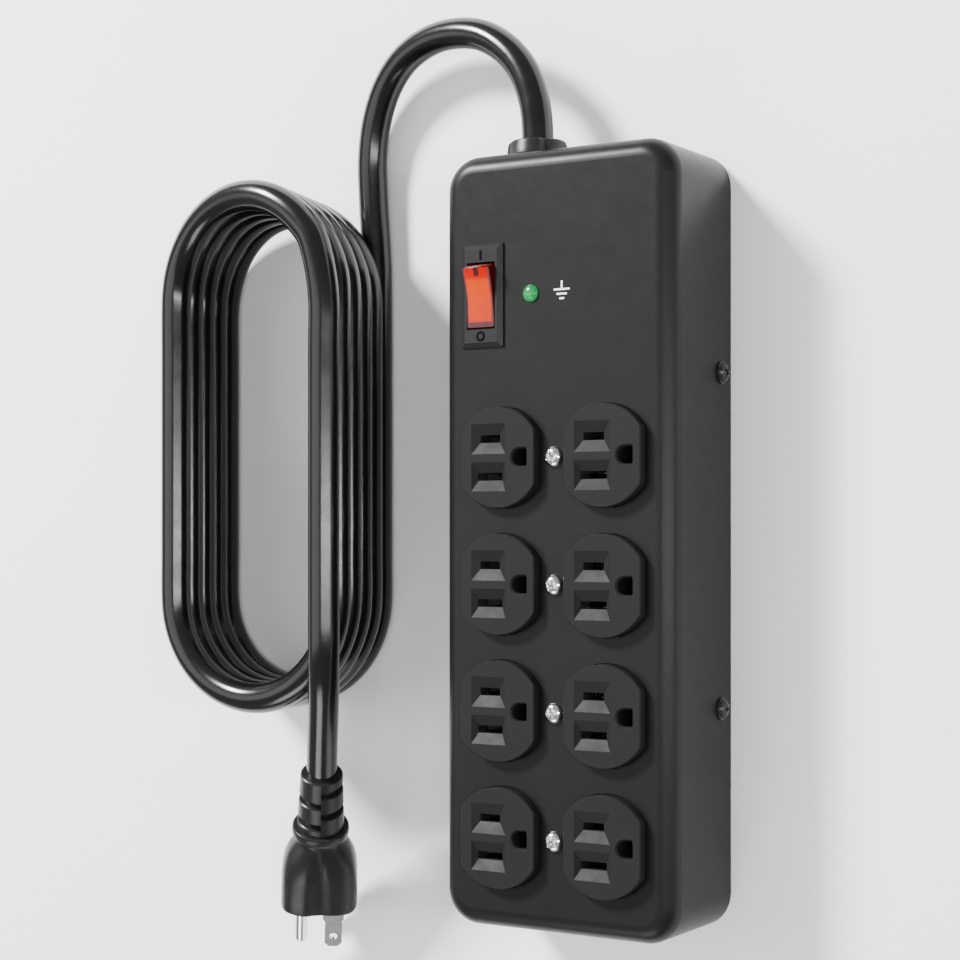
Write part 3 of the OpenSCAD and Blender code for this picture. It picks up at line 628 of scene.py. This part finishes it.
outlet_verts, outlet_faces = outlet_mesh()
for row, y in enumerate(ROWS):
    pair = []
    for x in COLUMNS:
        pair.append(([Vector((x + vx, y + vy, vz)) * MM for vx, vy, vz in outlet_verts], outlet_faces))
    verts, faces = merge(pair)
    piece = mesh_piece("outlet_pair_%d" % (row + 1), verts, faces, OUTLET, smooth_angle=14)
    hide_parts("outlet_face_%d" % (row + 1))


# ---------------------------------------------------------------- screws

DOME_SHARE = 0.80


def dome_height(share, height, flange):
    """Height of a plain domed head at a share of its radius, with a flat flange if it has one."""
    if flange and share > DOME_SHARE:
        return flange
    g = share / DOME_SHARE if flange else share
    return flange + (height - flange) * math.sqrt(max(0.0, 1.0 - g ** 2.6))


def recess_depth(x, y, cross_len, cross_w, cross_deep, turn):
    """Depth of a turned cross recess at a place on the head."""
    c, s = math.cos(turn), math.sin(turn)
    u, v = c * x + s * y, -s * x + c * y
    depth = 0.0
    for p, q in ((u, v), (v, u)):
        taper = 1.0 - 0.55 * abs(p) / cross_len
        inside = min(1.0, max(0.0, (cross_w * taper - abs(q)) / 0.16))
        inside *= min(1.0, max(0.0, (cross_len - abs(p)) / 0.22))
        depth += cross_deep * inside * (1 - 0.35 * abs(p) / cross_len)
    return depth


def phillips_head(radius, height, cross_len, cross_w, cross_deep, flange=0.0, turn=0.0):
    """Domed cross-recess head standing on z = 0."""
    steps, segments = 26, 96
    rings = [[Vector((0.0, 0.0, height - cross_deep)) * MM] * segments]
    for i in range(1, steps + 1):
        r = radius * i / steps
        ring = []
        for a in around(segments):
            x, y = r * math.cos(a), r * math.sin(a)
            z = dome_height(i / steps, height, flange)
            z -= recess_depth(x, y, cross_len, cross_w, cross_deep, turn)
            ring.append(Vector((x, y, z)) * MM)
        rings.append(ring)
    rings += [[p * MM for p in ring] for ring in lathe([(radius, 0.0)], segments)]
    return loft(rings, close_start=False)


parts = []
for row, y in enumerate(ROWS):
    v, f = phillips_head(3.45, 2.0, 2.2, 0.6, 1.2, turn=0.35 + 0.7 * row)
    shift = Vector((0.0, y, PANEL_Z + 0.05)) * MM
    parts.append(([p + shift for p in v], f))
verts, faces = merge(parts)
centre_screws = mesh_piece("centre_screws", verts, faces, NICKEL, smooth_angle=50)
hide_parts("outlet_screws")

CASE_HALF_W = 44.0
WALL_SCREW_Z = 7.5
parts = []
for side in (-1, 1):
    for y in (-56.3, 56.3):
        v, f = phillips_head(3.85, 2.4, 1.9, 0.5, 1.0, flange=0.65, turn=0.5 + y * 0.01)
        turn = Matrix.Rotation(math.radians(90 * side), 4, "Y")
        shift = Vector((side * (CASE_HALF_W - 0.05), y, WALL_SCREW_Z)) * MM
        parts.append(([turn @ p + shift for p in v], f))
verts, faces = merge(parts)
wall_screws = mesh_piece("wall_screws", verts, faces, BLACK_SCREW, smooth_angle=50)
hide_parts("side_screws")


# ---------------------------------------------------------------- switch

SWITCH_X, SWITCH_Y = -27.4, 82.6
PIVOT_Z = PANEL_Z - 0.9
BEZEL_TOP_Z = PANEL_Z + 1.85

soften_edges(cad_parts["switch_housing"], 0.15, 25)


def rocker_profile(n=14):
    """Side outline of the rocker about its pivot, in its own level position."""
    low, end_z, mid_z, r = -1.6, 4.6, 3.6, 11.0
    half, steps = 9.99, 12
    out = []
    a_low = math.asin(low / r)
    a_top = math.asin(end_z / r)
    for k in range(n + 1):
        a = a_low + (a_top - a_low) * k / n
        out.append((r * math.cos(a), r * math.sin(a)))
    for k in range(1, steps):
        y = half * (1 - 2 * k / steps)
        out.append((y, mid_z + (end_z - mid_z) * (abs(y) / half) ** 1.15))
    for k in range(n + 1):
        a = a_top + (a_low - a_top) * k / n
        out.append((-r * math.cos(a), r * math.sin(a)))
    return out


def rocker_piece(width, material):
    """Rocker body with rounded side edges, tilted to its rest position."""
    outline = rocker_profile()
    centre = Vector((0.0, 1.2))
    rings = []
    for x, shrink in ((-width / 2, 0.5), (-width / 2 + 0.12, 0.18), (-width / 2 + 0.45, 0.0),
                      (width / 2 - 0.45, 0.0), (width / 2 - 0.12, 0.18), (width / 2, 0.5)):
        ring = []
        for y, z in outline:
            p = Vector((y, z))
            d = p - centre
            p = centre + d * (1 - shrink / d.length)
            ring.append(Vector((x, p.x, p.y)) * MM)
        rings.append(ring)
    verts, faces = loft(rings)
    turn = Matrix.Rotation(math.radians(10), 4, "X")
    move = Matrix.Translation(Vector((SWITCH_X, SWITCH_Y, PIVOT_Z)) * MM)
    return mesh_piece("lit_rocker", verts, faces, material, "rocker", 30, move @ turn)


def lit_plastic():
    """Red-orange core lit from inside, in a clear rim, with painted shade: faces turned away from the top
    get a darker colour and a weaker glow, and a small slot at its raised end is painted dark as its shade.
    """
    m, nt, bsdf, coord = new_material("lit_rocker")
    place_on = axes_node(nt, coord.outputs["Object"])
    along = range_node(nt, place_on.outputs["Y"], 0.0722, 0.0928, 0.0, 1.0)
    tone = ramp_node(nt, along.outputs["Result"], [
        (0.0, (0.92, 0.060, 0.016)), (0.35, (1.0, 0.082, 0.010)), (0.74, (1.0, 0.100, 0.004)),
        (0.80, (0.82, 0.010, 0.0)), (1.0, (0.66, 0.005, 0.0))])
    cloud = noise_node(nt, coord, 260.0, 3.0, 0.5)
    power = range_node(nt, cloud.outputs["Fac"], 0.3, 0.7, 0.95, 1.15)
    geometry = nt.nodes.new("ShaderNodeNewGeometry")
    facing = axes_node(nt, geometry.outputs["Normal"])
    # painted shade: the colour and the glow fade on faces that turn away from the top
    up = range_node(nt, facing.outputs["Z"], 0.35, 0.8, 0.10, 1.0)
    across = math_node(nt, "ABSOLUTE", math_node(nt, "SUBTRACT", place_on.outputs["X"], SWITCH_X * MM))
    core = range_node(nt, across, 0.0042, 0.0048, 1.0, 0.0)
    foot = range_node(nt, place_on.outputs["Y"], 0.0735, 0.0741, 0.0, 1.0)
    inside = math_node(nt, "MULTIPLY", core.outputs["Result"], foot.outputs["Result"])
    rimmed = mix_node(nt, inside, (0.17, 0.070, 0.085), tone.outputs["Color"])
    # painted shade: a narrow slot at the raised end is painted dark, not cut
    slot_shade_sides = range_node(nt, across, 0.0008, 0.0011, 1.0, 0.0)
    slot_shade_foot = range_node(nt, place_on.outputs["Y"], 0.0889, 0.0892, 0.0, 1.0)
    slot_shade = math_node(nt, "MULTIPLY", slot_shade_sides.outputs["Result"], slot_shade_foot.outputs["Result"])
    slot_shaded_tone = mix_node(nt, slot_shade, rimmed, (0.10, 0.022, 0.030))
    facing_shaded_tone = mix_node(nt, up.outputs["Result"], (0.25, 0.004, 0.002), slot_shaded_tone)
    skin = mix_node(nt, 1.0, facing_shaded_tone, (0.10, 0.06, 0.06), "MULTIPLY")
    facing_shaded_glow = math_node(nt, "MULTIPLY", power.outputs["Result"], up.outputs["Result"])
    fine = noise_node(nt, coord, 1500.0, 2.0, 0.5)
    bump = bump_node(nt, fine.outputs["Fac"], 0.05, 0.00003)
    rough = range_node(nt, cloud.outputs["Fac"], 0.3, 0.7, 0.14, 0.24)
    nt.links.new(skin, bsdf.inputs["Base Color"])
    nt.links.new(facing_shaded_tone, bsdf.inputs["Emission Color"])
    nt.links.new(facing_shaded_glow, bsdf.inputs["Emission Strength"])
    nt.links.new(rough.outputs["Result"], bsdf.inputs["Roughness"])
    nt.links.new(bump.outputs["Normal"], bsdf.inputs["Normal"])
    bsdf.inputs["Specular IOR Level"].default_value = 0.10
    return m


rocker = rocker_piece(10.4, lit_plastic())
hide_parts("switch_rocker")


def bezel_mark(name, y, rings, closed):
    """A raised mark on the bezel, y millimetres along from its centre."""
    verts, faces = loft([mm(ring) for ring in rings], closed, closed)
    move = Matrix.Translation(Vector((SWITCH_X, SWITCH_Y + y, BEZEL_TOP_Z)) * MM)
    piece = mesh_piece(name, verts, faces, PRINT_BLACK, matrix=move)


bar = [rect_ring(0, 0, 0.95, 3.3, -0.1), rect_ring(0, 0, 0.95, 3.3, 0.05), rect_ring(0, 0, 0.89, 3.24, 0.08)]
hoop = lathe([(0.95, -0.1), (0.95, 0.05), (0.98, 0.08), (1.72, 0.08), (1.75, 0.05), (1.75, -0.1)], 40)
bezel_mark("mark_on", 13.7, bar, True)
bezel_mark("mark_off", -13.7, hoop, False)


# ---------------------------------------------------------------- indicator

LED_X, LED_Y = -8.8, 82.5


def lens_material():
    """Green lens with a bright core and fine moulded rings."""
    m, nt, bsdf, coord = new_material("green_lens")
    mapping = nt.nodes.new("ShaderNodeMapping")
    mapping.inputs["Location"].default_value = (-LED_X * MM, -LED_Y * MM, -PANEL_Z * MM)
    nt.links.new(coord.outputs["Object"], mapping.inputs["Vector"])
    centre = nt.nodes.new("ShaderNodeVectorMath")
    centre.operation = "LENGTH"
    nt.links.new(mapping.outputs["Vector"], centre.inputs[0])
    out = range_node(nt, centre.outputs["Value"], 0.0012, 0.0034, 0.0, 1.0)
    tone = ramp_node(nt, out.outputs["Result"], [
        (0.0, (0.05, 0.62, 0.20)), (0.45, (0.012, 0.36, 0.085)), (0.8, (0.004, 0.16, 0.035)),
        (1.0, (0.002, 0.03, 0.008))])
    cells = nt.nodes.new("ShaderNodeTexVoronoi")
    cells.inputs["Scale"].default_value = 1300.0
    nt.links.new(coord.outputs["Object"], cells.inputs["Vector"])
    glow = range_node(nt, cells.outputs["Distance"], 0.0, 0.6, 2.0, 1.1)
    bump = bump_node(nt, cells.outputs["Distance"], 0.35, 0.00008)
    rough = noise_node(nt, coord, 900.0)
    rough_value = range_node(nt, rough.outputs["Fac"], 0.3, 0.7, 0.08, 0.16)
    skin = mix_node(nt, 1.0, tone.outputs["Color"], (0.10, 0.12, 0.10), "MULTIPLY")
    nt.links.new(skin, bsdf.inputs["Base Color"])
    nt.links.new(tone.outputs["Color"], bsdf.inputs["Emission Color"])
    nt.links.new(glow.outputs["Result"], bsdf.inputs["Emission Strength"])
    nt.links.new(bump.outputs["Normal"], bsdf.inputs["Normal"])
    nt.links.new(rough_value.outputs["Result"], bsdf.inputs["Roughness"])
    bsdf.inputs["Specular IOR Level"].default_value = 0.3
    return m


lens_profile = [(2.45, 36.1), (2.45, 43.5), (2.86, 43.56), (2.88, 43.9), (2.72, 44.1), (2.5, 44.12)]
for k in range(1, 11):
    a = math.pi / 2 * k / 10
    lens_profile.append((2.45 * math.cos(a) + 0.02, 44.12 + 1.25 * math.sin(a)))
rings = [[(p + Vector((LED_X, LED_Y, 0.0))) * MM for p in ring] for ring in lathe(lens_profile)]
verts, faces = loft(rings, False, True)
lens = mesh_piece("indicator_lens", verts, faces, lens_material(), smooth_angle=45)
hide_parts("led_lens")


# Generic earth mark beside the lens: a stem and three bars of falling width
MARK_X = 3.0
PRINT_Z = PANEL_Z + 0.03
parts = []
for y, w, h in ((2.2, 0.6, 2.6), (0.65, 6.0, 0.6), (-0.85, 3.9, 0.6), (-2.35, 1.8, 0.6)):
    parts.append(loft([mm(rect_ring(MARK_X, LED_Y + y, w, h, z)) for z in (PRINT_Z - 0.02, PRINT_Z)]))
verts, faces = merge(parts)
earth_mark = mesh_piece("earth_mark", verts, faces, PRINT)


# ---------------------------------------------------------------- carried-over nodes

FINISH = {
    "front_cover": CASE, "back_plate": CASE, "insulation_sheet": FIBRE, "switch_housing": SWITCH,
    "rocker_pin": NICKEL, "contact_lever": BRASS, "lever_cradle": BRASS, "fixed_contact": BRASS,
    "lamp_terminal": NICKEL, "switch_lamp": LAMP, "indicator_board": BOARD,
    "board_resistor": RESISTOR, "plug_hot_blade": NICKEL, "plug_neutral_blade": NICKEL,
    "plug_ground_pin": NICKEL, "wire_hot": WIRE_BLACK, "wire_hot_feed": WIRE_BLACK,
    "wire_neutral": WIRE_WHITE, "wire_ground": WIRE_GREEN, "ground_screw": WIRE_GREEN}
for i in range(1, 5):
    FINISH["outlet_base_%d" % i] = BASE
    FINISH["hot_contact_%d" % i] = BRASS
    FINISH["neutral_contact_%d" % i] = NICKEL
    FINISH["ground_strap_%d" % i] = NICKEL
for name, material in FINISH.items():
    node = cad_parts[name]
    for slot in node.material_slots:
        slot.material = material
for name in ("plug_hot_blade", "plug_neutral_blade", "plug_ground_pin"):
    soften_edges(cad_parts[name], 0.18, 40)


# ---------------------------------------------------------------- floor and light

FLOOR_HALF, FLOOR_Z = 6.0, -0.0004
floor_mesh = bpy.data.meshes.new("floor")
floor_mesh.from_pydata(rect_ring(0, 0, 2 * FLOOR_HALF, 2 * FLOOR_HALF, FLOOR_Z), [], [(0, 1, 2, 3)])
floor_material, nt, bsdf, coord = new_material("floor")
tone = ramp_node(nt, noise_node(nt, coord, 3.0).outputs["Fac"],
                 [(0.3, (0.90, 0.90, 0.90)), (0.7, (0.93, 0.93, 0.93))])
nt.links.new(tone.outputs["Color"], bsdf.inputs["Base Color"])
bsdf.inputs["Roughness"].default_value = 0.9
bsdf.inputs["Specular IOR Level"].default_value = 0.1
floor_mesh.materials.append(floor_material)
floor = bpy.data.objects.new("floor", floor_mesh)
bpy.context.scene.collection.objects.link(floor)

world = bpy.data.worlds.new("studio")
world.use_nodes = True
world.node_tree.nodes["Background"].inputs["Color"].default_value = (1.0, 1.0, 1.0, 1.0)
world.node_tree.nodes["Background"].inputs["Strength"].default_value = 0.4
bpy.context.scene.world = world


def area_light(name, location, target, size, power, size_y):
    """Soft rectangular light aimed at a target."""
    data = bpy.data.lights.new(name, "AREA")
    data.energy = power
    data.size = size
    data.shape = "RECTANGLE"
    data.size_y = size_y
    light = bpy.data.objects.new(name, data)
    light.location = location
    direction = Vector(target) - Vector(location)
    light.rotation_euler = direction.to_track_quat("-Z", "Y").to_euler()
    bpy.context.scene.collection.objects.link(light)


centre = (-0.04, 0.0, 0.02)
area_light("key", (-1.05, 1.15, 1.15), centre, 0.4, 130.0, 0.4)
area_light("fill", (-0.30, -1.50, 0.90), centre, 0.9, 14.0, 0.6)
area_light("soft", (-0.74, 0.0, 1.32), centre, 0.7, 8.0, 1.6)
area_light("edge", (1.02, 0.0, 0.93), centre, 0.09, 21.0, 1.9)
